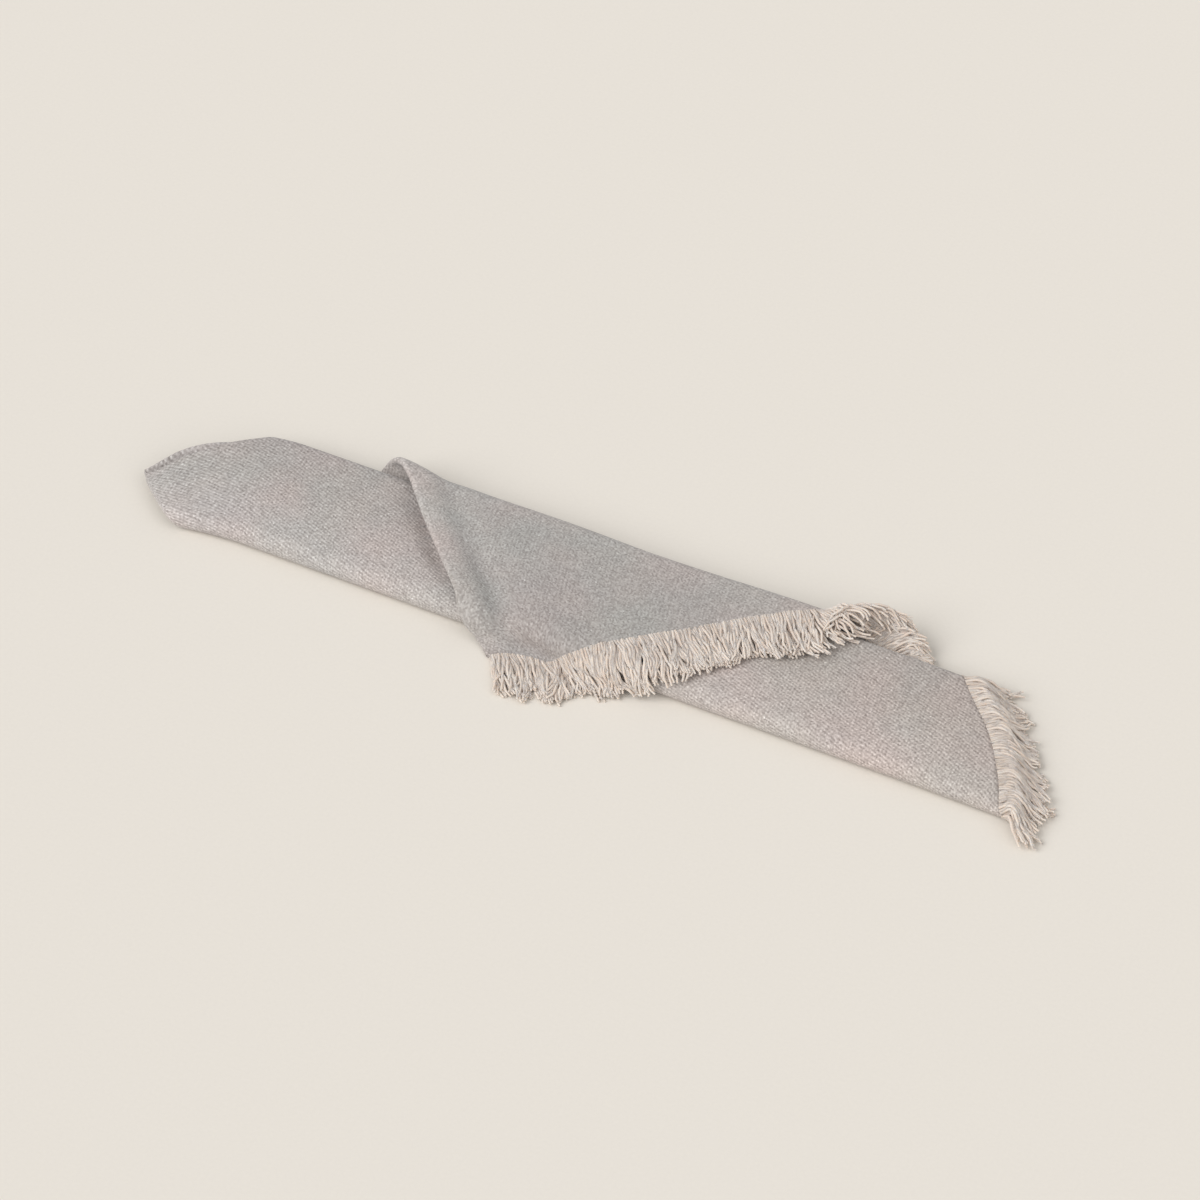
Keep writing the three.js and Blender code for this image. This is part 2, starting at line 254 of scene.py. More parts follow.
def inward_run(along, inward):
    return unit(middle(along, inward + NUDGE) - middle(along, inward - NUDGE))


def outward(along, inward):
    along_run = unit(middle(along + NUDGE, inward) - middle(along - NUDGE, inward))
    return unit(np.cross(along_run, inward_run(along, inward)))


def packet(open_way, folded_way):
    """The quartered packet laid flat: from distances along its edges to along and inward."""
    return open_way * COS - folded_way * SIN, open_way * SIN + folded_way * COS


def on_packet(along, inward):
    """The other way round: distances along the packet's open edge and along its round fold."""
    return along * COS + inward * SIN, inward * COS - along * SIN


def beside_pair(folded_way, reach):
    """1 at the pair of folds, fading over a reach away from them."""
    return np.exp(-np.maximum(FOLD_EDGE - folded_way, 0) / reach)


TIP_ALONG, TIP_INWARD = packet(0, FOLD_EDGE)
END_ALONG, END_INWARD = packet(OPEN_EDGE, 0)
LAST_INWARD = packet(OPEN_EDGE, FOLD_EDGE)[1] - CORNER_CUT


# The cloth's give on the bias, in the plane of the packet.

# How far the open edge hangs out along its length, as (distance from the round fold, sag).
SAG = (
    (0, -3.5), (5, -3.1), (10, -1.4), (14, 0.4), (19, 3.9), (22, 3.7), (26, 2.7), (31, 3.7), (40, 4.8),
    (66, 4.9), (88, 3.6), (97, 3.8), (104, 3.0), (120, 5.0), (134, 7.5), (150, 7.5), (190, 0),
)
SAG_REACH = 55
# How far the pair of folds and the fringed end bulge out, as (place along the side, width, how far).
PAIR_OUT = ((17, 17, 2.4), (8.5, 6, 1.6))
PAIR_REACH = 22
END_OUT = ((33, 15, 2.0), (2, 9, -2.4))
END_REACH = 48
# How far the round fold is drawn in. Below zero it bulges out, as it does at the far side and the left.
ROUND_FOLD_IN = ((0, 9, 2.2), (95, 10, -3.4))
ROUND_FOLD_REACH = 26
LEFT_IN = ((188, 13, -2.0),)
LEFT_REACH = 30
# The very tip goes out past the round fold and in from the pair of folds, within this distance.
TIP_PAST_FOLD, TIP_FROM_PAIR, TIP_REACH = 2.6, 3.8, 10


def stretched(along, inward):
    """The open edge sags along the flap and behind the roll, and the other sides bulge a little."""
    open_way, folded_way = on_packet(along, inward)
    down = smooth_through(open_way, SAG) * (1 - rise(folded_way, 0, SAG_REACH))
    up = humps(open_way, PAIR_OUT) * beside_pair(folded_way, PAIR_REACH)
    out = humps(folded_way, END_OUT) * rise(open_way, OPEN_EDGE - END_REACH, OPEN_EDGE)
    drawn_in = humps(np.maximum(folded_way, 0), ROUND_FOLD_IN) * (1 - rise(open_way, 0, ROUND_FOLD_REACH))
    drawn_in = drawn_in + humps(folded_way, LEFT_IN) * (1 - rise(open_way, 0, LEFT_REACH))
    at_tip = hump(np.hypot(open_way, FOLD_EDGE - folded_way), 0, TIP_REACH)
    open_way = open_way + out + drawn_in - TIP_PAST_FOLD * at_tip
    folded_way = folded_way - down + up - TIP_FROM_PAIR * at_tip
    return packet(open_way, folded_way)


# The cloth's unevenness, in height above the wound packet.

# Windows on the length of cloth inward from the corner: (starts, full, fades, gone).
FLAP_TOP = (6, 18, 56, 66)
FLAP_CROWN = (10, 34, 44, 66)
SWELL_ACROSS = (6, 16, 46, 66)
BODY_TOP = (143, 150, 172, 181)
# The flap's unevenness ends at this length of cloth.
FLAP_UNTIL = 70
# Slow waves over all of it, as (height, length along, length inward, start), and their share on each.
SLOW_WAVES = ((0.5, 9.5, 13, 0), (0.3, 5.3, -8.1, 1.3))
FLAP_WAVES, FLAP_RAISED = 0.2, 0.25
BODY_WAVES, BODY_SUNK = 0.28, 0.14
# On the flap: the round fold stands up, a valley lies beside it, and a swell comes after the valley.
FOLD_LIFT, FOLD_LIFT_AT, FOLD_LIFT_WIDTH = 0.6, 2.5, 8
VALLEY, VALLEY_AT, VALLEY_WIDTH = 1.9, 11, 4.8
# The valley starts farther from the fold at the open edge, and grows shallow away from it.
VALLEY_ASIDE, VALLEY_STRAIGHTENS = 9, (-2, 12)
VALLEY_FADES, VALLEY_FADE_RUN = 0.65, (20, 80)
VALLEY_FROM = (4, 12)
SWELL, SWELL_BESIDE_FOLD = 0.8, (13, 27, 36, 80)
CROWN = 0.35
# On the body: the pair of folds is lifted beside the tip, and the cloth dips along the flap's edge.
PAIR_LIFT, PAIR_LIFT_AT, PAIR_LIFT_WIDTH, PAIR_LIFT_REACH = 1.4, 18, 16, 9
DIP, DIP_AT, DIP_WIDTH, DIP_STARTS = 1.5, -3.5, 4.5, (22, 34)


def slow_waves(along, inward):
    return sum(height * np.sin(along / a + inward / b + start) for height, a, b, start in SLOW_WAVES)


def flap_relief(along, inward):
    open_way, folded_way = on_packet(along, inward)
    valley_at = VALLEY_AT + VALLEY_ASIDE * (1 - rise(folded_way, *VALLEY_STRAIGHTENS))
    valley = hump(open_way, valley_at, VALLEY_WIDTH) * rise(inward, *VALLEY_FROM)
    valley = valley * (1 - VALLEY_FADES * rise(folded_way, *VALLEY_FADE_RUN))
    swell = window(open_way, *SWELL_BESIDE_FOLD) * window(inward, *SWELL_ACROSS)
    fold_lift = FOLD_LIFT * hump(open_way, FOLD_LIFT_AT, FOLD_LIFT_WIDTH)
    uneven = FLAP_RAISED + fold_lift + FLAP_WAVES * slow_waves(along, inward)
    uneven = uneven * window(inward, *FLAP_TOP)
    return uneven + CROWN * window(inward, *FLAP_CROWN) + SWELL * swell - VALLEY * valley


def body_relief(along, inward):
    open_way, folded_way = on_packet(along, inward)
    lifted = PAIR_LIFT * hump(open_way, PAIR_LIFT_AT, PAIR_LIFT_WIDTH)
    lifted = lifted * beside_pair(folded_way, PAIR_LIFT_REACH)
    across = inward - BODY_FROM
    beside_flap = along + across * SIN / COS - FLAP_LEAN * (1 - rise(across, 0, FLAP_LEAN_CLOTH))
    dip = hump(beside_flap, DIP_AT, DIP_WIDTH) * rise(across, *DIP_STARTS)
    uneven = BODY_WAVES * slow_waves(along, inward) - BODY_SUNK
    return (uneven + lifted - DIP * dip) * window(inward, *BODY_TOP)


def place(along, inward, height):
    """A point of the packet at a height above its middle layer, counted away from the roll's core."""
    relief = flap_relief(along, inward) * (inward < FLAP_UNTIL) + body_relief(along, inward)
    lifted = np.asarray(height + relief)
    return middle(along, inward) + outward(along, inward) * lifted[..., None]


# The cloth.

# Columns of the mesh in each ply, and how much they close up towards the folds.
PLY_COLUMNS = (130, 44, 44, 130)
CLOSING = (1.15, 1.5, 1.5, 1.15)
# How far past the packet's open sides each ply stops. Below zero it stops short of them.
EDGE_STEP = (0.0, -0.45, -0.2, 0.25)
# A row that is nearer than this to the last one is left out, and no row is shorter than this.
ROW_GAP, SHORTEST_ROW = 0.35, 0.1
# Each fold's steps and how far it bulges. The round fold bulges more on the flap and flattens to the tip.
ROUND_STEPS, FOLD_BULGE, FLAP_FOLD_BULGE, FLAP_FOLD = 8, 0.9, 1.5, (2, 12, 64, 76)
FLATTENS_FROM = 6
PAIR_STEPS, PAIR_BULGE = 3, 0.3
# The cloth stays this far above the surface that it lies on.
ABOVE_FLOOR = 0.01
# The plies stand apart along the round fold of the flap, and close up at the tip.
PUFF, PUFF_WIDTH, PUFFED = 0.8, 4.5, (3, 14, 64, 76)
TIP_CLOSED = (-2, 3)
# The slot of the pair of folds: its stretch along them, and each amount with its reach from them.
SLOT_STRETCH = (-2, 2, 14, 28)
OUTER_LIFT = (0.2, 6)
INNER_CURL = (3.0, 1.6)
INNER_DROP = (2.2, 9)
SLOT_SET_BACK = (3.0, 14)


def cloth_rows():
    rows = [CORNER_CUT, TIP_INWARD, END_INWARD, LAST_INWARD]
    for start, (_, cloth, count) in zip(STARTS, PASSES):
        rows.extend(start + cloth * np.arange(count) / count)
    rows = np.sort(rows)
    rows = rows[(rows >= CORNER_CUT) & (rows <= LAST_INWARD)]
    return rows[np.concatenate([[True], np.diff(rows) > ROW_GAP])]


def sides_at(inward):
    """Where a row of the packet starts and ends along the roll."""
    past = inward - TIP_INWARD
    left = np.where(past <= 0, -inward * math.tan(LEAN), TIP_ALONG + past / math.tan(LEAN))
    before_end = inward / math.tan(LEAN)
    after_end = END_ALONG - (inward - END_INWARD) * math.tan(LEAN)
    return left, np.where(inward <= END_INWARD, before_end, after_end)


def ply_height(ply, along, inward):
    """The plies close up at the tip, where the folds meet, and stand apart along the round fold."""
    open_way, folded_way = on_packet(along, inward)
    from_tip = np.hypot(open_way, FOLD_EDGE - folded_way)
    puff = 1 + PUFF * hump(np.maximum(open_way, 0), 0, PUFF_WIDTH) * window(inward, *PUFFED)
    return PLY_HEIGHTS[ply] * puff * rise(from_tip, *TIP_CLOSED)


def in_slot(along, inward, amount, reach):
    """An amount that is full at the slot of the pair of folds, and fades over a reach away from them."""
    open_way, folded_way = on_packet(along, inward)
    return amount * beside_pair(folded_way, reach) * window(open_way, *SLOT_STRETCH)


def slot_open(ply, along, inward):
    """Beside the tip the inner pair of plies curls up past the edge of the outer pair."""
    if ply < 2:
        return in_slot(along, inward, *OUTER_LIFT)
    return in_slot(along, inward, *INNER_CURL) - in_slot(along, inward, *INNER_DROP)


def set_back(ply, along, inward):
    """The outer pair of plies also stands back a little from the inner pair."""
    open_way, folded_way = on_packet(along, inward)
    back = in_slot(along, inward, *SLOT_SET_BACK) if ply < 2 else 0
    return packet(open_way, folded_way - back)


# Cloth that a fold and the roll's near turn take up on the flat sheet.
IN_FOLD = 1.6
IN_NEAR_TURN = 3.2


def sheet_place(ply, along, inward):
    """The place on the flat sheet, whose middle is at the tip of the packet."""
    turned = rise(inward, START_OF["near_outer"] - 1, START_OF["top_inner"] + 1)
    open_way, folded_way = on_packet(along, inward + IN_NEAR_TURN * turned)
    u = open_way + IN_FOLD
    v = FOLD_EDGE - folded_way + IN_FOLD / 4
    return np.stack([u if ply < 2 else -u, v if ply in (0, 3) else -v], axis=-1)


class SheetMesh:
    """Points with their places on the flat sheet, and faces, in the order in which they are added."""

    def __init__(self):
        self.points = []
        self.places = []
        self.faces = []
        self.count = 0

    def add_grid(self, points, places):
        rows, columns = points.shape[:2]
        numbers = self.count + np.arange(rows * columns).reshape(rows, columns)
        self.points.append(points.reshape(-1, 3))
        self.places.append(places.reshape(-1, 2))
        self.count += rows * columns
        return numbers

    def join(self, numbers, flip=False):
        a, b = numbers[:-1, :-1], numbers[1:, :-1]
        c, d = numbers[1:, 1:], numbers[:-1, 1:]
        quads = np.stack([a, d, c, b] if flip else [a, b, c, d], axis=-1).reshape(-1, 4)
        self.faces.append(quads)


def add_object(name, mesh):
    piece = bpy.data.objects.new(name, mesh)
    bpy.context.scene.collection.objects.link(piece)
    return piece


def make_smooth(mesh):
    mesh.polygons.foreach_set("use_smooth", [True] * len(mesh.polygons))


def mesh_object(name, points, faces, material, places=None):
    mesh = bpy.data.meshes.new(name)
    mesh.from_pydata((points * MM).tolist(), [], faces.tolist())
    mesh.validate()
    if places is not None:
        layer = mesh.uv_layers.new(name="flat_sheet")
        corner_vertex = np.empty(len(mesh.loops), dtype=np.int32)
        mesh.loops.foreach_get("vertex_index", corner_vertex)
        layer.data.foreach_set("uv", (places[corner_vertex] * MM).astype(np.float32).ravel())
    mesh.materials.append(material)
    make_smooth(mesh)
    mesh.update()
    return add_object(name, mesh)


def finish_modifier(piece, modifier):
    """Turns the piece and its modifier into a plain mesh."""
    graph = bpy.context.evaluated_depsgraph_get()
    finished = bpy.data.meshes.new_from_object(piece.evaluated_get(graph), depsgraph=graph)
    piece.modifiers.remove(modifier)
    piece.data = finished


def thicken(piece, thickness):
    solidify = piece.modifiers.new("cloth thickness", "SOLIDIFY")
    solidify.thickness = thickness * MM
    solidify.offset = 0
    solidify.use_even_offset = False
    finish_modifier(piece, solidify)


def cloth_piece(material):
    rows = cloth_rows()
    left, right = sides_at(rows)
    mesh = SheetMesh()
    grids = []
    for ply, columns in enumerate(PLY_COLUMNS):
        share = np.linspace(0, 1, columns + 1)[None, :] ** CLOSING[ply]
        stop = np.maximum(right + EDGE_STEP[ply], left + SHORTEST_ROW)
        along = mix(left[:, None], stop[:, None], share)
        inward = np.broadcast_to(rows[:, None], along.shape)
        height = ply_height(ply, along, inward) + slot_open(ply, along, inward)
        spot = stretched(*set_back(ply, along, inward))
        grids.append(mesh.add_grid(place(*spot, height), sheet_place(ply, along, inward)))
        mesh.join(grids[-1], flip=ply in (1, 3))
    points = np.concatenate(mesh.points)
    places = np.concatenate(mesh.places)

    def fold(first, second, rows_here, steps, bulge):
        """A half round of cloth from one ply's folded side to another's, on the given rows."""
        bulge = np.broadcast_to(bulge, rows.shape)[rows_here][:, None, None]
        a, b = grids[first][rows_here, 0], grids[second][rows_here, 0]
        angle = np.linspace(0, math.pi, steps + 2)[1:-1]
        centre = (points[a] + points[b])[:, None] / 2
        arm = (points[a] - points[b])[:, None] / 2
        away = unit(points[a] - points[grids[first][rows_here, 1]])[:, None]
        ring = centre + arm * np.cos(angle)[None, :, None] + away * bulge * np.sin(angle)[None, :, None]
        flat_place = mix(places[a][:, None], places[b][:, None], (angle / math.pi)[None, :, None])
        inner = mesh.add_grid(ring, flat_place)
        strip = np.concatenate([a[:, None], inner, b[:, None]], axis=1)
        mesh.join(strip, flip=first in (0, 2))

    number = np.arange(len(rows))
    tip_row = int(np.argmin(abs(rows - TIP_INWARD)))
    before, after = number[number <= tip_row], number[number >= tip_row]
    round_bulge = mix(FOLD_BULGE, FLAP_FOLD_BULGE, window(rows, *FLAP_FOLD))
    round_bulge = round_bulge * rise(TIP_INWARD - rows, 0, FLATTENS_FROM)
    fold(0, 3, before, ROUND_STEPS, round_bulge)
    fold(1, 2, before, PAIR_STEPS, PAIR_BULGE)
    fold(0, 1, after, PAIR_STEPS, PAIR_BULGE)
    fold(2, 3, after, PAIR_STEPS, PAIR_BULGE)
    all_points = np.concatenate(mesh.points)
    all_points[:, 2] = np.maximum(all_points[:, 2], CLOTH_THICK / 2 + ABOVE_FLOOR)
    return mesh_object("napkin_cloth", all_points, np.concatenate(mesh.faces), material,
                       np.concatenate(mesh.places))


# The fringes.

YARN_RADIUS = 0.45
YARN_POINTS = 15
YARN_START = -0.5
YARN_LENGTH = 15.0
# Yarns of one lock lie round each other at this radius, with one turn in this length.
LOCK_RADIUS = 0.4
LOCK_TWIST = 12.0
# Locks: their spacing, how far they draw their yarns together, and how high their middles swell.
LOCK_SPACING = (1.8, 4.4)
LOCK_PULL = (0.45, 0.75)
LOCK_SWELL = 1.1
# By these shares of their length the yarns are drawn together and lie fully round each other.
PULLED_BY, TWISTED_BY = 0.5, 0.3
# How far a yarn strays from its place, along the edge and in height.
STRAYS = (-0.25, 0.25)
# How unlike the locks are, and the yarns of one lock, in lean, curl and length.
LEANS = (0.13, 0.03)
CURLS = (2.2, 0.5)
LENGTHS = (1.1, 0.35)
# Slow changes of the yarns' length, as (how much, length along the edge).
SHORT_CHANGE, LONG_CHANGE = (0.8, 2.7), (0.6, 7.1)
# Where the yarns are longer or shorter, as (place along the edge, width, how much).
OPEN_LONGER = ((126, 11, 3.2), (146, 8, -4.0))
END_LONGER = ((30, 13, 1.0), (4, 10, -3.2))
END_SHORTER, END_SHORTER_RUN = 2.2, (44, 58)
# Yarns of one ply lie this far above those of the ply below, on the roll and at its end.
PLY_STEP, END_PLY_STEP = 0.38, 0.45
# Yarns on the roll sink through its slack from here, lie on their bed from this reach, and stray there.
SLACK_FROM, ON_BED_BY, BED_STRAYS = (16, 24), 5, (-0.1, 0.25)
# Windows on the length of cloth inward: yarns that lie on the roll, that spring clear, and the tuft's.
ON_ROLL = (20, 26, 60, 66)
SPRUNG = (62, 68, 100, 116)
IN_TUFT = (63, 68, 80, 88)
# Directions in which sprung yarns leave and fall, beside the tuft and in it. Inner plies lie lower.
ARCH_FIRST, ARCH_LAST, ARCH_RUN = (0.8, 0.36, 0.18), (0.75, 0.6, 0.66), (108, 126)
FALL_BESIDE, FALL_IN_TUFT = (0.85, 0.34, -0.2), (0.95, -0.1, -0.5)
LOWER_BY_PLY = np.array([0, 0, 0.1])
# Sprung yarns hold their first direction up to one reach and fall by another. Inner plies turn sooner.
HOLDS, SOONER_BY_PLY, TURNED_BY, TURN_STRAYS, FALL_SPREAD = 5, 1.2, 19, (-2, 2), 0.14
# Yarns at the roll's end sink to the surface up to this length of cloth inward.
END_SINKS_UNTIL = 187
# How far they turn across the roll: at the packet's corner, and at this length of cloth.
END_TURNS, END_TURN_UNTIL = (-0.45, 0.22), 186
# More of it right at the corner, its spread from lock to lock, and the reach by which they have turned.
CORNER_TURN, CORNER_TURN_WIDTH, TURN_SPREAD, END_TURNED_BY = 0.35, 8, 0.16, 8
# The height of their bed above the surface, how uneven it is, and the reach over which they sink to it.
END_BED, END_BED_STRAYS, END_SINKS = 0.3, (-0.1, 0.6), (3.5, 13.5)
# Each ply's lock numbers start this far on, and the yarns' shades have a seed of their own.
LOCKS_APART = 1000
SHADE_SEED = 7

# Name, the CAD piece that it stands for, edge, first and last place on it, and yarn pitch in a ply.
FRINGES = (
    ("flap_yarns", "flap_fringe", "open", 0.4, 104.5, 0.6),
    ("far_yarns", "far_fringe", "open", 104.9, 134.4, 0.5),
    ("under_yarns", "under_fringe", "open", 134.9, 222.6, 1.0),
    ("end_yarns", "end_fringe", "end", 0.4, 62.4, 0.6),
    ("inner_yarns", "inner_fringe", "end", 62.9, 190, 1.2),
)


def edge_point(edge, station, out):
    if edge == "open":
        return packet(station, -out)
    return packet(OPEN_EDGE + out, station)


def of_locks(values, lock):
    """Each yarn takes its lock's value, as a column."""
    return values[lock][:, None]


def in_locks(stations, share, rng):
    """Yarns gather into locks that lean and curl together. Gives each yarn's station and lock number."""
    centres = [stations[0]]
    while centres[-1] < stations[-1]:
        centres.append(centres[-1] + rng.uniform(*LOCK_SPACING))
    centres = np.array(centres)
    lock = np.argmin(abs(stations[:, None] - centres[None, :]), axis=1)

    def unlike(between_locks, in_lock):
        shared = of_locks(rng.normal(0, between_locks, len(centres)), lock)
        return shared + rng.normal(0, in_lock, (len(stations), 1))

    pull = of_locks(rng.uniform(*LOCK_PULL, len(centres)), lock) * rise(share, 0, PULLED_BY)
    lean = unlike(*LEANS)
    curl = unlike(*CURLS)
    gathered = stations[:, None] + (centres[lock] - stations)[:, None] * pull
    return gathered + lean * YARN_LENGTH * share + curl * share ** 3, lock


def yarn_reach(edge, stations, lock, ply, share, rng):
    """How far each point of a yarn is from the cloth's edge, along the yarn."""
    between_locks, in_lock = LENGTHS
    lock_length = rng.normal(0, between_locks, lock.max() + 1)[lock]
    slow = SHORT_CHANGE[0] * np.sin(stations / SHORT_CHANGE[1] + ply)
    slow = slow + LONG_CHANGE[0] * np.sin(stations / LONG_CHANGE[1])
    if edge == "open":
        longer = humps(stations, OPEN_LONGER)
    else:
        longer = humps(stations, END_LONGER) - END_SHORTER * rise(stations, *END_SHORTER_RUN)
    length = YARN_LENGTH + longer + slow + lock_length + rng.normal(0, in_lock, len(stations))
    return YARN_START + (length[:, None] - YARN_START) * share


def settled_height(ply, along, inward, reach, rng):
    """Yarns leave at their ply's height and sink onto what lies below them."""
    loose = looseness(along)
    across = rise(inward, START_OF["top_outer"], START_OF["far_outer"])
    lift = mix(loose["near_lift"], loose["far_lift"], across) * rise(inward, *SLACK_FROM)
    up = outward(along, inward)[..., 2]
    rank = np.where(up > 0, 3 - ply, ply)
    sunk = (TURN - PACKET_THICK + lift) * window(inward, *ON_ROLL)
    bed = -LEVEL + YARN_RADIUS + PLY_STEP * rank - sunk
    bed = bed + rng.uniform(*BED_STRAYS, (len(along), 1))
    return mix(PLY_HEIGHTS[ply], up * bed, abs(up) * rise(reach, 0, ON_BED_BY))


def free_path(root, reach, first, last, hold, turn):
    """Paths that hold one direction from their roots and turn to another by a given length."""
    step = np.diff(reach, axis=1, prepend=reach[:, :1])
    toward = rise(reach, hold, turn)[..., None]
    direction = unit(mix(first[:, None], last[:, None], toward))
    return root[:, None] + np.cumsum(direction * step[..., None], axis=1)


def edge_ways(spot):
    """The directions along the open edge and away from it, at places of the roll."""
    run = inward_run(*spot)
    return run * SIN + [COS, 0, 0], run * -COS + [SIN, 0, 0]


def sprung_yarns(ply, stations, spot, root, reach, aside, rng):
    """Behind the roll the open edge turns down, and its yarns spring clear, arch over and fall."""
    along_edge, away = edge_ways(spot)
    in_tuft = window(spot[1], *IN_TUFT)[:, None]
    arch_last = np.array(ARCH_LAST) - LOWER_BY_PLY * ply
    arch = mix(np.array(ARCH_FIRST), arch_last, rise(stations, *ARCH_RUN)[:, None])
    first = unit(mix(away, arch, in_tuft))
    falling = mix(np.array(FALL_BESIDE), np.array(FALL_IN_TUFT) - LOWER_BY_PLY * ply, in_tuft)
    last = falling + rng.normal(0, FALL_SPREAD, (len(stations), 3))
    turned_by = TURNED_BY + rng.uniform(*TURN_STRAYS, (len(stations), 1))
    path = free_path(root, reach, first, last, HOLDS - SOONER_BY_PLY * ply, turned_by)
    return path + aside * along_edge[:, None]


def sinking_yarns(ply, stations, spot, root, reach, aside, lock, rng):
    """At the roll's end the yarns turn level and sink to the surface, each lock in its own direction."""
    along_edge, away = edge_ways(spot)
    turn = mix(*END_TURNS, rise(spot[1], END_INWARD, END_TURN_UNTIL))
    turn = turn - CORNER_TURN * hump(stations, 0, CORNER_TURN_WIDTH)
    turn = turn + rng.normal(0, TURN_SPREAD, lock.max() + 1)[lock]
    last = np.stack([np.ones(len(stations)), turn, np.zeros(len(stations))], axis=-1)
    free = free_path(root, reach, along_edge, last, 0, END_TURNED_BY) - aside * away[:, None]
    bed = END_BED + YARN_RADIUS + END_PLY_STEP * (3 - ply)
    bed = bed + of_locks(rng.uniform(*END_BED_STRAYS, lock.max() + 1), lock)
    free[..., 2] = mix(free[..., 2], bed, rise(reach, *END_SINKS))
    return free


def ply_yarns(edge, first_station, last_station, pitch, ply, rng):
    """Middle lines of one ply's yarns, an array of yarns by points by 3, and each yarn's lock number."""
    stations = np.arange(first_station + pitch * (ply % 2) / 2, last_station, pitch)
    stations = np.clip(stations + rng.uniform(*STRAYS, len(stations)), first_station, last_station)
    count = len(stations)
    share = np.linspace(0, 1, YARN_POINTS)[None, :]
    station, lock = in_locks(stations, share, rng)
    reach = yarn_reach(edge, stations, lock, ply, share, rng)
    twist = rng.uniform(0, 2 * math.pi, (count, 1)) + reach * 2 * math.pi / LOCK_TWIST
    twisted = LOCK_RADIUS * rise(share, 0, TWISTED_BY)
    station = station + twisted * np.cos(twist)
    lock_swell = of_locks(rng.uniform(0, LOCK_SWELL, lock.max() + 1), lock) * np.sin(math.pi * share) ** 2
    raised = twisted * np.sin(twist) + lock_swell + rng.uniform(*STRAYS, (count, 1))

    along, inward = stretched(*edge_point(edge, station, reach))
    laid = place(along, inward, settled_height(ply, along, inward, reach, rng) + raised)
    spot = stretched(*edge_point(edge, stations, np.full(count, YARN_START)))
    root = place(*spot, np.full(count, PLY_HEIGHTS[ply]))
    aside = (station - stations[:, None])[..., None]
    if edge == "open":
        free = sprung_yarns(ply, stations, spot, root, reach, aside, rng)
        freed = window(spot[1], *SPRUNG)
    else:
        free = sinking_yarns(ply, stations, spot, root, reach, aside, lock, rng)
        freed = (spot[1] <= END_SINKS_UNTIL).astype(float)
    free[..., 2] += raised
    return mix(laid, free, freed[:, None, None]), lock


def guide_mesh(name, paths, lock):
    """Polylines with each point's share of its yarn's length, and each yarn's own shade and lock."""
    yarns, points = paths.shape[:2]
    numbers = np.arange(yarns * points).reshape(yarns, points)
    edges = np.stack([numbers[:, :-1], numbers[:, 1:]], axis=-1).reshape(-1, 2)
    mesh = bpy.data.meshes.new(name)
    mesh.from_pydata((paths.reshape(-1, 3) * MM).tolist(), edges.tolist(), [])
    share = np.tile(np.linspace(0, 1, points), yarns)
    shade = np.repeat(np.random.default_rng(SHADE_SEED).uniform(0, 1, yarns), points)
    for key, values in (("share", share), ("shade", shade), ("lock", np.repeat(lock, points))):
        layer = mesh.attributes.new(key, "FLOAT", "POINT")
        layer.data.foreach_set("value", values.astype(np.float32))
    return mesh


# Nodes, for the yarns and for the finishes.

def connect(tree, value, socket):
    """Links an output to a socket, or sets the socket if the value is a plain one."""
    if isinstance(value, bpy.types.NodeSocket):
        tree.links.new(value, socket)
    else:
        socket.default_value = value


def operation_of(tree, kind, operation, values):
    node = tree.nodes.new(kind)
    node.operation = operation
    for socket, value in zip(node.inputs, values):
        connect(tree, value, socket)
    return node.outputs[0]


def math_of(tree, operation, *values):
    return operation_of(tree, "ShaderNodeMath", operation, values)


def vector_of(tree, operation, *values):
    return operation_of(tree, "ShaderNodeVectorMath", operation, values)


def node_of(tree, kind, inputs):
    """A new node with its named inputs linked or set."""
    node = tree.nodes.new(kind)
    for name, value in inputs.items():
        connect(tree, value, node.inputs[name])
    return node


# The yarn tree's sizes, in metres.
YARN_INPUTS = (
    ("Yarn radius", YARN_RADIUS * MM),
    ("Waviness", 2.7 * MM),
    ("Waves per metre", 135.0),
    ("Unlikeness in a lock", 0.3),
    ("Seed", 3.0),
)
YARN_SIDES = 6
# A yarn's radius shrinks by this share at its tip, most of it in its last third.
YARN_THINS, THINS_LATE = 0.3, 3.0
# Each lock has its own waves, this far apart in the noise. They are lower than they are wide.
LOCK_NOISE_STEP = 7.3
WAVE_SHAPE = (2.0, 2.0, 0.8)
WAVES_GROW = 1.3


def named(tree, name):
    node = tree.nodes.new("GeometryNodeInputNamedAttribute")
    node.data_type = "FLOAT"
    node.inputs["Name"].default_value = name
    return node.outputs["Attribute"]


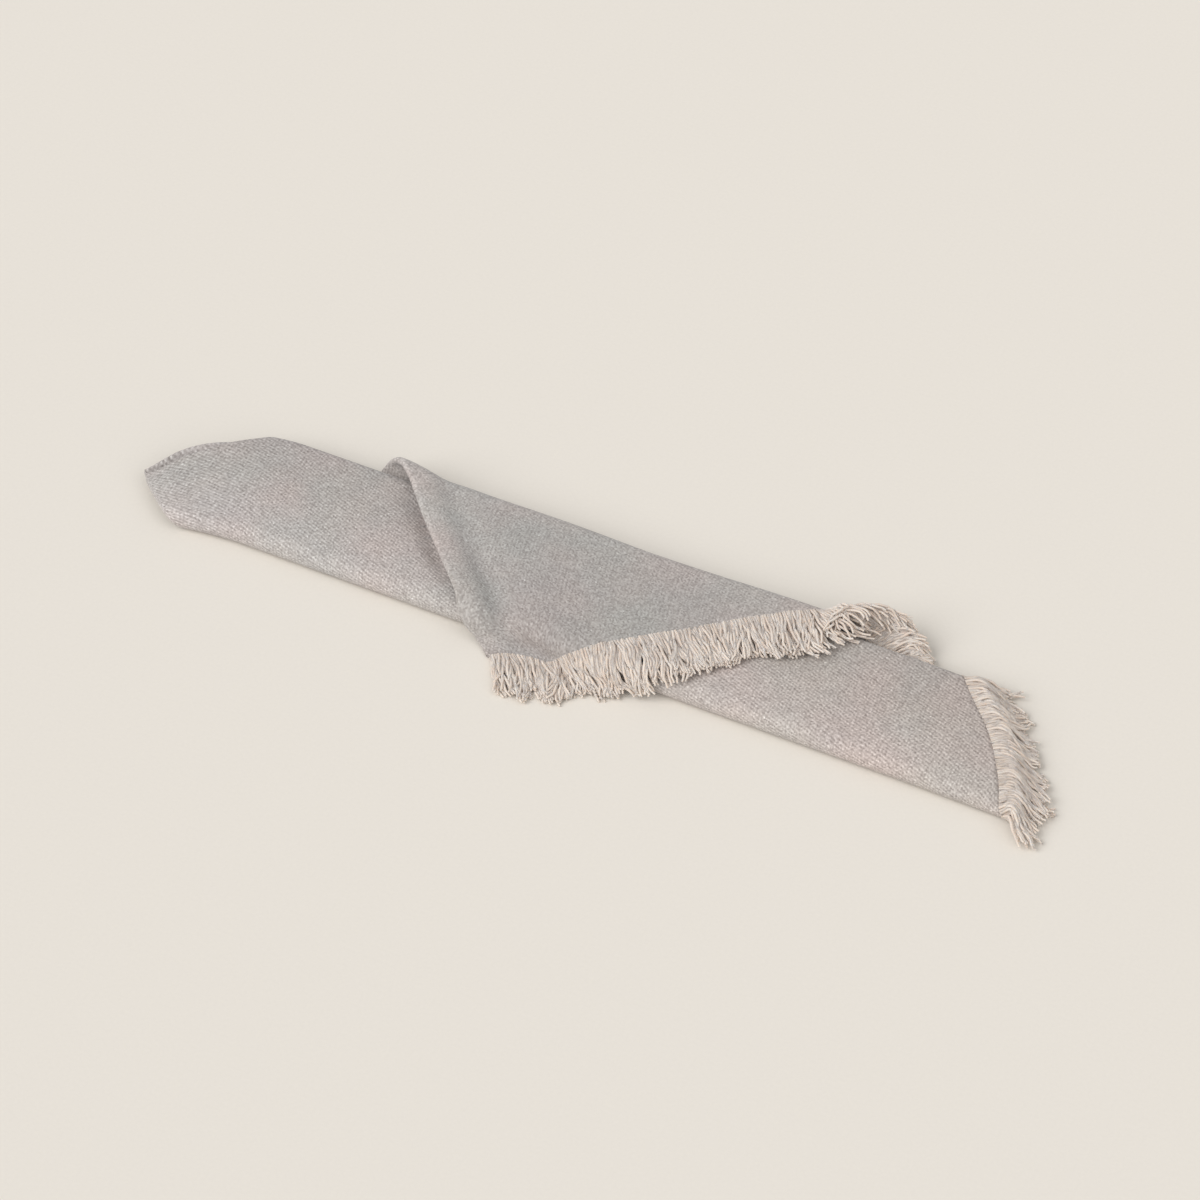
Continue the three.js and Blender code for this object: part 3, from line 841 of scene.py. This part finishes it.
def waved_curve(tree, curve, given):
    """Moves the guide lines by a noise that one lock's yarns nearly share and that grows to their tips."""
    share, shade, lock = named(tree, "share"), named(tree, "shade"), named(tree, "lock")
    of_yarn = math_of(tree, "MULTIPLY", shade, given["Unlikeness in a lock"])
    of_lock = math_of(tree, "MULTIPLY_ADD", lock, LOCK_NOISE_STEP, given["Seed"])
    position = tree.nodes.new("GeometryNodeInputPosition").outputs[0]
    noise = tree.nodes.new("ShaderNodeTexNoise")
    noise.noise_dimensions = "4D"
    connect(tree, position, noise.inputs["Vector"])
    connect(tree, math_of(tree, "ADD", of_yarn, of_lock), noise.inputs["W"])
    connect(tree, given["Waves per metre"], noise.inputs["Scale"])
    noise.inputs["Detail"].default_value = 2.0
    shift = vector_of(tree, "SUBTRACT", noise.outputs["Color"], (0.5, 0.5, 0.5))
    shift = vector_of(tree, "MULTIPLY", shift, WAVE_SHAPE)
    grow = math_of(tree, "MULTIPLY", math_of(tree, "POWER", share, WAVES_GROW), given["Waviness"])
    scaled = tree.nodes.new("ShaderNodeVectorMath")
    scaled.operation = "SCALE"
    connect(tree, shift, scaled.inputs[0])
    connect(tree, grow, scaled.inputs["Scale"])
    waved = node_of(tree, "GeometryNodeSetPosition", {"Geometry": curve, "Offset": scaled.outputs[0]})
    return waved.outputs["Geometry"]


def curve_above_floor(tree, curve, lowest):
    position = tree.nodes.new("GeometryNodeInputPosition").outputs[0]
    parts = node_of(tree, "ShaderNodeSeparateXYZ", {"Vector": position}).outputs
    height = math_of(tree, "MAXIMUM", parts["Z"], lowest)
    whole = node_of(tree, "ShaderNodeCombineXYZ", {"X": parts["X"], "Y": parts["Y"], "Z": height})
    lifted = node_of(tree, "GeometryNodeSetPosition", {"Geometry": curve, "Position": whole.outputs[0]})
    return lifted.outputs["Geometry"]


def yarn_tree():
    """Turns guide lines into wavy yarns of round section that thin out at the tips."""
    tree = bpy.data.node_groups.new("fringe yarns", "GeometryNodeTree")
    tree.interface.new_socket("Geometry", in_out="INPUT", socket_type="NodeSocketGeometry")
    tree.interface.new_socket("Geometry", in_out="OUTPUT", socket_type="NodeSocketGeometry")
    for name, value in YARN_INPUTS:
        socket = tree.interface.new_socket(name, in_out="INPUT", socket_type="NodeSocketFloat")
        socket.default_value = value
    tree.interface.new_socket("Yarn", in_out="INPUT", socket_type="NodeSocketMaterial")
    given = tree.nodes.new("NodeGroupInput").outputs

    guides = node_of(tree, "GeometryNodeMeshToCurve", {"Mesh": given["Geometry"]})
    curve = waved_curve(tree, guides.outputs["Curve"], given)
    curve = curve_above_floor(tree, curve, given["Yarn radius"])
    section = node_of(tree, "GeometryNodeCurvePrimitiveCircle", {
        "Resolution": YARN_SIDES, "Radius": given["Yarn radius"],
    })
    along_yarn = math_of(tree, "POWER", named(tree, "share"), THINS_LATE)
    tube = node_of(tree, "GeometryNodeCurveToMesh", {
        "Curve": curve,
        "Profile Curve": section.outputs["Curve"],
        "Scale": math_of(tree, "MULTIPLY_ADD", along_yarn, -YARN_THINS, 1.0),
        "Fill Caps": True,
    })
    realize = node_of(tree, "GeometryNodeRealizeInstances", {"Geometry": tube.outputs["Mesh"]})
    finish = node_of(tree, "GeometryNodeSetMaterial", {
        "Geometry": realize.outputs["Geometry"], "Material": given["Yarn"],
    })
    node_of(tree, "NodeGroupOutput", {"Geometry": finish.outputs["Geometry"]})
    return tree


def yarn_piece(name, tree, material, edge, first, last, pitch):
    """One fringe. Its seed comes from its name and its place on the edge."""
    rng = np.random.default_rng(len(name) + int(first * 10))
    plies = [ply_yarns(edge, first, last, pitch, ply, rng) for ply in range(4)]
    paths = np.concatenate([path for path, _ in plies])
    locks = np.concatenate([lock + LOCKS_APART * ply for ply, (_, lock) in enumerate(plies)])
    piece = add_object(name, guide_mesh(name, paths, locks))
    spin = piece.modifiers.new("yarns", "NODES")
    spin.node_group = tree
    sockets = {item.name: item.identifier for item in tree.interface.items_tree if item.in_out == "INPUT"}
    for size_name, size in YARN_INPUTS:
        spin[sockets[size_name]] = size
    spin[sockets["Yarn"]] = material
    finish_modifier(piece, spin)
    make_smooth(piece.data)
    return piece


# Finishes.

# The cloth's greys by tone, and slow cool and warm tints over them, as colours on a screen.
CLOTH_GREYS = (
    (0.05, (131, 123, 119)),
    (0.45, (173, 165, 161)),
    (0.75, (198, 191, 187)),
    (1.0, (228, 223, 219)),
)
DRIFT_TINTS = ((0.3, (249, 252, 254)), (0.9, (254, 251, 248)))
PATCH_TINTS = ((0.38, (251, 253, 251)), (0.62, (255, 251, 250)))
YARN_CREAMS = ((0.15, (180, 161, 146)), (0.5, (215, 200, 188)), (0.9, (236, 225, 214)))
FLOOR_TINTS = ((0.3, (226, 220, 211)), (0.7, (228, 222, 213)))
# Painted light and shade by pass: the drop is darkened, the roll's near turn is lightened and the body
# darkens towards its far turn, changing inward from the packet's corner, by share of this length of cloth.
PASS_LIGHT_CLOTH = 200
PASS_LIGHT_AND_SHADE = (
    (0.04, (0.9, 0.89, 0.89)),
    (0.22, (1.0, 1.0, 1.0)),
    (0.66, (1.09, 1.09, 1.1)),
    (0.76, (1.07, 1.07, 1.08)),
    (0.84, (0.98, 0.98, 0.98)),
    (0.94, (0.91, 0.91, 0.92)),
)
# Painted shade makes the flap greyer than the body, and painted light makes a strip along its round fold
# paler.
WHITE = (1, 1, 1, 1)
FLAP_PAINTED_SHADE = (0.85, 0.88, 0.885, 1)
FOLD_PAINTED_LIGHT = (1.07, 1.065, 1.06, 1)
FOLD_LIGHT_STRIP = (4.0, 11.0)
FOLD_LIGHT_STRENGTH = 1.2
# The ribs show less on the flap, and the same share fades the flap's painted shade. They come up to full
# strength over this length of cloth.
FLAP_RIBS, RIBS_GROW = 0.3, (60, 75)
# One repeat of the twill along the open edge and along the round fold, in mm, and its threads.
REPEAT = (1.33, 2.09)
THREAD = 0.5
# Noises over the flat sheet, as (waves to the mm, detail, roughness). The twill's ribs wander a little.
WANDER, RIB_WANDER = (0.3, 2.0, 0.5), 5.0
HEATHER = (1.1, 2.0, 0.6)
MOTTLE = (0.06, 3.0, 0.55)
PATCHES = (0.03, 1.0, 0.5)
# Slubs are long the way of their thread and thin across it.
SLUBS, SLUB_THIN, SLUB_LONG = (1.0, 3.0, 0.6), 1.5, 0.14
# The share of crossings that are not pale flecks.
NOT_FLECKS = 0.9994
# How far the sum of the cloth's patterns is brought down to the greys' places.
TONE_DOWN = 0.18
# The warm and cool drift: its share of the mottling, and how it grows for each mm along the open edge.
DRIFT_MOTTLE, DRIFT_ALONG = 0.8, 0.0022
# Noises in the yarns and the floor, with waves to the metre.
FIBRES = (2600.0, 3.0, 0.6)
YARN_PATCHES = (260.0, 2.0, 0.5)
FLOOR_GRAIN = (900.0, 3.0, 0.5)
# How strong each surface's fine relief is, and how deep.
CLOTH_BUMP = (0.5, 0.2 * MM)
YARN_BUMP = (0.5, 0.08 * MM)


def new_material(name, inputs):
    material = bpy.data.materials.new(name)
    material.use_nodes = True
    tree = material.node_tree
    surface = tree.nodes["Principled BSDF"]
    for key, value in inputs.items():
        surface.inputs[key].default_value = value
    return material, tree, surface


def object_place(tree):
    return tree.nodes.new("ShaderNodeTexCoord").outputs["Object"]


def own_value(tree, name):
    """A value that each yarn carries."""
    node = tree.nodes.new("ShaderNodeAttribute")
    node.attribute_name = name
    return node.outputs["Fac"]


def noise_of(tree, vector, scale, detail, roughness):
    return node_of(tree, "ShaderNodeTexNoise", {
        "Vector": vector, "Scale": scale, "Detail": detail, "Roughness": roughness,
    }).outputs["Fac"]


def share_between(tree, value, start, end, at_start=0.0, at_end=1.0):
    return node_of(tree, "ShaderNodeMapRange", {
        "Value": value, "From Min": start, "From Max": end, "To Min": at_start, "To Max": at_end,
    }).outputs["Result"]


def ramp_of(tree, factor, stops):
    """A colour ramp from (place, colour) pairs. Colours are linear."""
    node = tree.nodes.new("ShaderNodeValToRGB")
    ramp = node.color_ramp
    while len(ramp.elements) < len(stops):
        ramp.elements.new(0.5)
    for element, (at, colour) in zip(ramp.elements, stops):
        element.position = at
        element.color = (*colour, 1)
    connect(tree, factor, node.inputs["Fac"])
    return node.outputs["Color"]


def linear(red, green, blue):
    """A colour given on a screen, as the linear values that the shader takes."""
    return tuple(((value / 255 + 0.055) / 1.055) ** 2.4 for value in (red, green, blue))


def screen_ramp(tree, factor, stops):
    return ramp_of(tree, factor, [(at, linear(*colour)) for at, colour in stops])


def blend_colour(tree, factor, first, second, how="MIX"):
    node = tree.nodes.new("ShaderNodeMix")
    node.data_type = "RGBA"
    node.blend_type = how
    connect(tree, factor, node.inputs[0])
    connect(tree, first, node.inputs[6])
    connect(tree, second, node.inputs[7])
    return node.outputs[2]


def tinted(tree, colour, *tints):
    for tint in tints:
        colour = blend_colour(tree, 1.0, colour, tint, "MULTIPLY")
    return colour


def bump_of(tree, height, strength, distance):
    return node_of(tree, "ShaderNodeBump", {
        "Strength": strength, "Distance": distance, "Height": height,
    }).outputs["Normal"]


def wave_of(tree, first, second):
    sine = math_of(tree, "SINE", math_of(tree, "ADD", first, second))
    return math_of(tree, "MULTIPLY_ADD", sine, 0.5, 0.5)


def weighted(tree, *terms):
    """The sum of outputs times plain weights."""
    total = 0.0
    for output, weight in terms:
        total = math_of(tree, "MULTIPLY_ADD", output, weight, total)
    return total


def slubs_of(tree, in_mm, across, along):
    return noise_of(tree, vector_of(tree, "MULTIPLY", in_mm, (across, along, 1.0)), *SLUBS)


def thread_crossings(tree, in_mm):
    """One random value for each crossing of the threads."""
    counted = vector_of(tree, "FLOOR", vector_of(tree, "DIVIDE", in_mm, (THREAD, THREAD, 1.0)))
    crossing = tree.nodes.new("ShaderNodeTexWhiteNoise")
    crossing.noise_dimensions = "2D"
    connect(tree, counted, crossing.inputs["Vector"])
    return crossing.outputs["Value"]


def woven_cloth():
    """Heathered twill: diagonal ribs, light and dark crossings of the threads, slubs and slow mottling, with
    painted shade on the flap and painted light and shade along its round fold and by pass.
    """
    material, tree, surface = new_material("woven_cloth", {
        "Roughness": 0.94, "Specular IOR Level": 0.18, "Sheen Weight": 0.25, "Sheen Roughness": 0.55,
    })
    sheet_map = tree.nodes.new("ShaderNodeUVMap")
    sheet_map.uv_map = "flat_sheet"
    in_mm = vector_of(tree, "MULTIPLY", sheet_map.outputs["UV"], (1 / MM, 1 / MM, 1 / MM))
    parts = node_of(tree, "ShaderNodeSeparateXYZ", {"Vector": in_mm}).outputs
    corner = -FOLD_EDGE * COS
    inward = weighted(tree, (parts["X"], SIN), (parts["Y"], -COS))

    wander = noise_of(tree, in_mm, *WANDER)
    open_phase = weighted(tree, (parts["X"], 2 * math.pi / REPEAT[0]), (wander, RIB_WANDER))
    folded_phase = math_of(tree, "MULTIPLY", parts["Y"], 2 * math.pi / REPEAT[1])
    counter = wave_of(tree, open_phase, folded_phase)
    full_rib = wave_of(tree, open_phase, math_of(tree, "MULTIPLY", folded_phase, -1.0))
    grow_from, grow_to = RIBS_GROW
    ribs_and_flap_shade = share_between(tree, inward, grow_from + corner, grow_to + corner, FLAP_RIBS, 1.0)
    rib = math_of(tree, "MULTIPLY", math_of(tree, "SUBTRACT", full_rib, 0.5), ribs_and_flap_shade)

    crossing = thread_crossings(tree, in_mm)
    fleck = math_of(tree, "GREATER_THAN", crossing, NOT_FLECKS)
    heather = noise_of(tree, in_mm, *HEATHER)
    warp_slub = slubs_of(tree, in_mm, SLUB_THIN, SLUB_LONG)
    weft_slub = slubs_of(tree, in_mm, SLUB_LONG, SLUB_THIN)
    mottle = noise_of(tree, in_mm, *MOTTLE)
    tone = weighted(
        tree, (crossing, 0.42), (rib, 0.24), (counter, 0.1), (heather, 0.33),
        (warp_slub, 0.24), (weft_slub, 0.2), (mottle, 0.1), (fleck, 0.24),
    )
    grey = screen_ramp(tree, math_of(tree, "SUBTRACT", tone, TONE_DOWN), CLOTH_GREYS)

    drifting = weighted(tree, (mottle, DRIFT_MOTTLE), (parts["X"], DRIFT_ALONG))
    drift = screen_ramp(tree, drifting, DRIFT_TINTS)
    patches = screen_ramp(tree, noise_of(tree, in_mm, *PATCHES), PATCH_TINTS)
    # Painted shade greys the flap, and painted light pales a strip along its round fold.
    from_fold = math_of(tree, "ABSOLUTE", parts["X"])
    fold_light_strip = share_between(tree, from_fold, *FOLD_LIGHT_STRIP, FOLD_LIGHT_STRENGTH, 0.0)
    flap = blend_colour(tree, math_of(tree, "MAXIMUM", ribs_and_flap_shade, fold_light_strip), FLAP_PAINTED_SHADE, WHITE)
    strip = blend_colour(tree, fold_light_strip, WHITE, FOLD_PAINTED_LIGHT)
    # Painted light and shade by pass, from the table of passes above.
    painted_by_pass = ramp_of(tree, share_between(tree, inward, corner, PASS_LIGHT_CLOTH + corner), PASS_LIGHT_AND_SHADE)
    colour = tinted(tree, grey, drift, patches, flap, strip, painted_by_pass)
    connect(tree, colour, surface.inputs["Base Color"])
    height = weighted(tree, (rib, 0.5), (counter, 0.2), (crossing, 0.4), (heather, 0.4))
    connect(tree, bump_of(tree, height, *CLOTH_BUMP), surface.inputs["Normal"])
    return material


def fringe_yarn():
    """Loose cream cotton: each yarn has its own shade, with darker fibres and paler patches."""
    material, tree, surface = new_material("fringe_yarn", {
        "Roughness": 0.92, "Specular IOR Level": 0.15, "Sheen Weight": 0.3, "Sheen Roughness": 0.5,
        "Subsurface Weight": 0.45, "Subsurface Radius": (1.0, 0.85, 0.7), "Subsurface Scale": 1.2 * MM,
    })
    fibre = noise_of(tree, object_place(tree), *FIBRES)
    patch = noise_of(tree, object_place(tree), *YARN_PATCHES)
    shade, share = own_value(tree, "shade"), own_value(tree, "share")
    tone = weighted(tree, (shade, 0.24), (fibre, 0.28), (patch, 0.44), (share, 0.12))
    connect(tree, screen_ramp(tree, tone, YARN_CREAMS), surface.inputs["Base Color"])
    connect(tree, bump_of(tree, fibre, *YARN_BUMP), surface.inputs["Normal"])
    return material


def pale_floor():
    material, tree, surface = new_material("pale_floor", {"Roughness": 1.0, "Specular IOR Level": 0.0})
    grain = noise_of(tree, object_place(tree), *FLOOR_GRAIN)
    connect(tree, screen_ramp(tree, grain, FLOOR_TINTS), surface.inputs["Base Color"])
    return material


# Camera, floor and light.

# The camera's lens and sensor in mm, what it looks at, its azimuth and elevation, and its distance in metres.
LENS, SENSOR = 145.35, 36.0
LOOKS_AT = (-4.69 * MM, 7.6 * MM, 5 * MM)
CAMERA_AZIMUTH, CAMERA_ELEVATION, CAMERA_DISTANCE = 26.68, 44.75, 1.5
FLOOR_HALF = 6000.0
# Each light's name, strength, spread, azimuth and elevation.
LIGHTS = (
    ("left window", 2.05, 50, -40, 41),
    ("fill", 0.8, 60, 62, 40),
)
LIGHT_DISTANCE = 2.0
SKY_STRENGTH = 0.45


def aim(thing, target, azimuth, elevation, distance):
    a, e = math.radians(azimuth), math.radians(elevation)
    way = np.array([math.sin(a) * math.cos(e), -math.cos(a) * math.cos(e), math.sin(e)])
    thing.location = np.array(target) + way * distance
    thing.rotation_euler = Vector(-way).to_track_quat("-Z", "Y").to_euler()


def add_camera():
    lens = bpy.data.cameras.new("camera")
    lens.lens = LENS
    lens.sensor_width = SENSOR
    lens.clip_end = 20.0
    camera = add_object("camera", lens)
    aim(camera, LOOKS_AT, CAMERA_AZIMUTH, CAMERA_ELEVATION, CAMERA_DISTANCE)
    bpy.context.scene.camera = camera


def add_floor():
    half = FLOOR_HALF
    corners = np.array([[-half, -half, 0], [half, -half, 0], [half, half, 0], [-half, half, 0]])
    mesh_object("floor", corners, np.array([[0, 1, 2, 3]]), pale_floor())


def light_scene():
    scene = bpy.context.scene
    scene.world = bpy.data.worlds.new("soft studio")
    scene.world.use_nodes = True
    background = scene.world.node_tree.nodes["Background"]
    background.inputs["Color"].default_value = WHITE
    background.inputs["Strength"].default_value = SKY_STRENGTH
    for name, strength, spread, azimuth, elevation in LIGHTS:
        sun = bpy.data.lights.new(name, "SUN")
        sun.energy = strength
        sun.angle = math.radians(spread)
        aim(add_object(name, sun), (0, 0, 0), azimuth, elevation, LIGHT_DISTANCE)
    scene.view_settings.view_transform = "Standard"


# The napkin.

add_camera()
add_floor()
light_scene()

cloth_finish = woven_cloth()
yarn_finish = fringe_yarn()

cloth = cloth_piece(cloth_finish)
thicken(cloth, CLOTH_THICK)
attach(cloth, "root")
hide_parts("rolled_cloth")

yarns_of = yarn_tree()
for name, node, edge, first, last, pitch in FRINGES:
    fringe = yarn_piece(name, yarns_of, yarn_finish, edge, first, last, pitch)
    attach(fringe, "root")
    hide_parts(node)
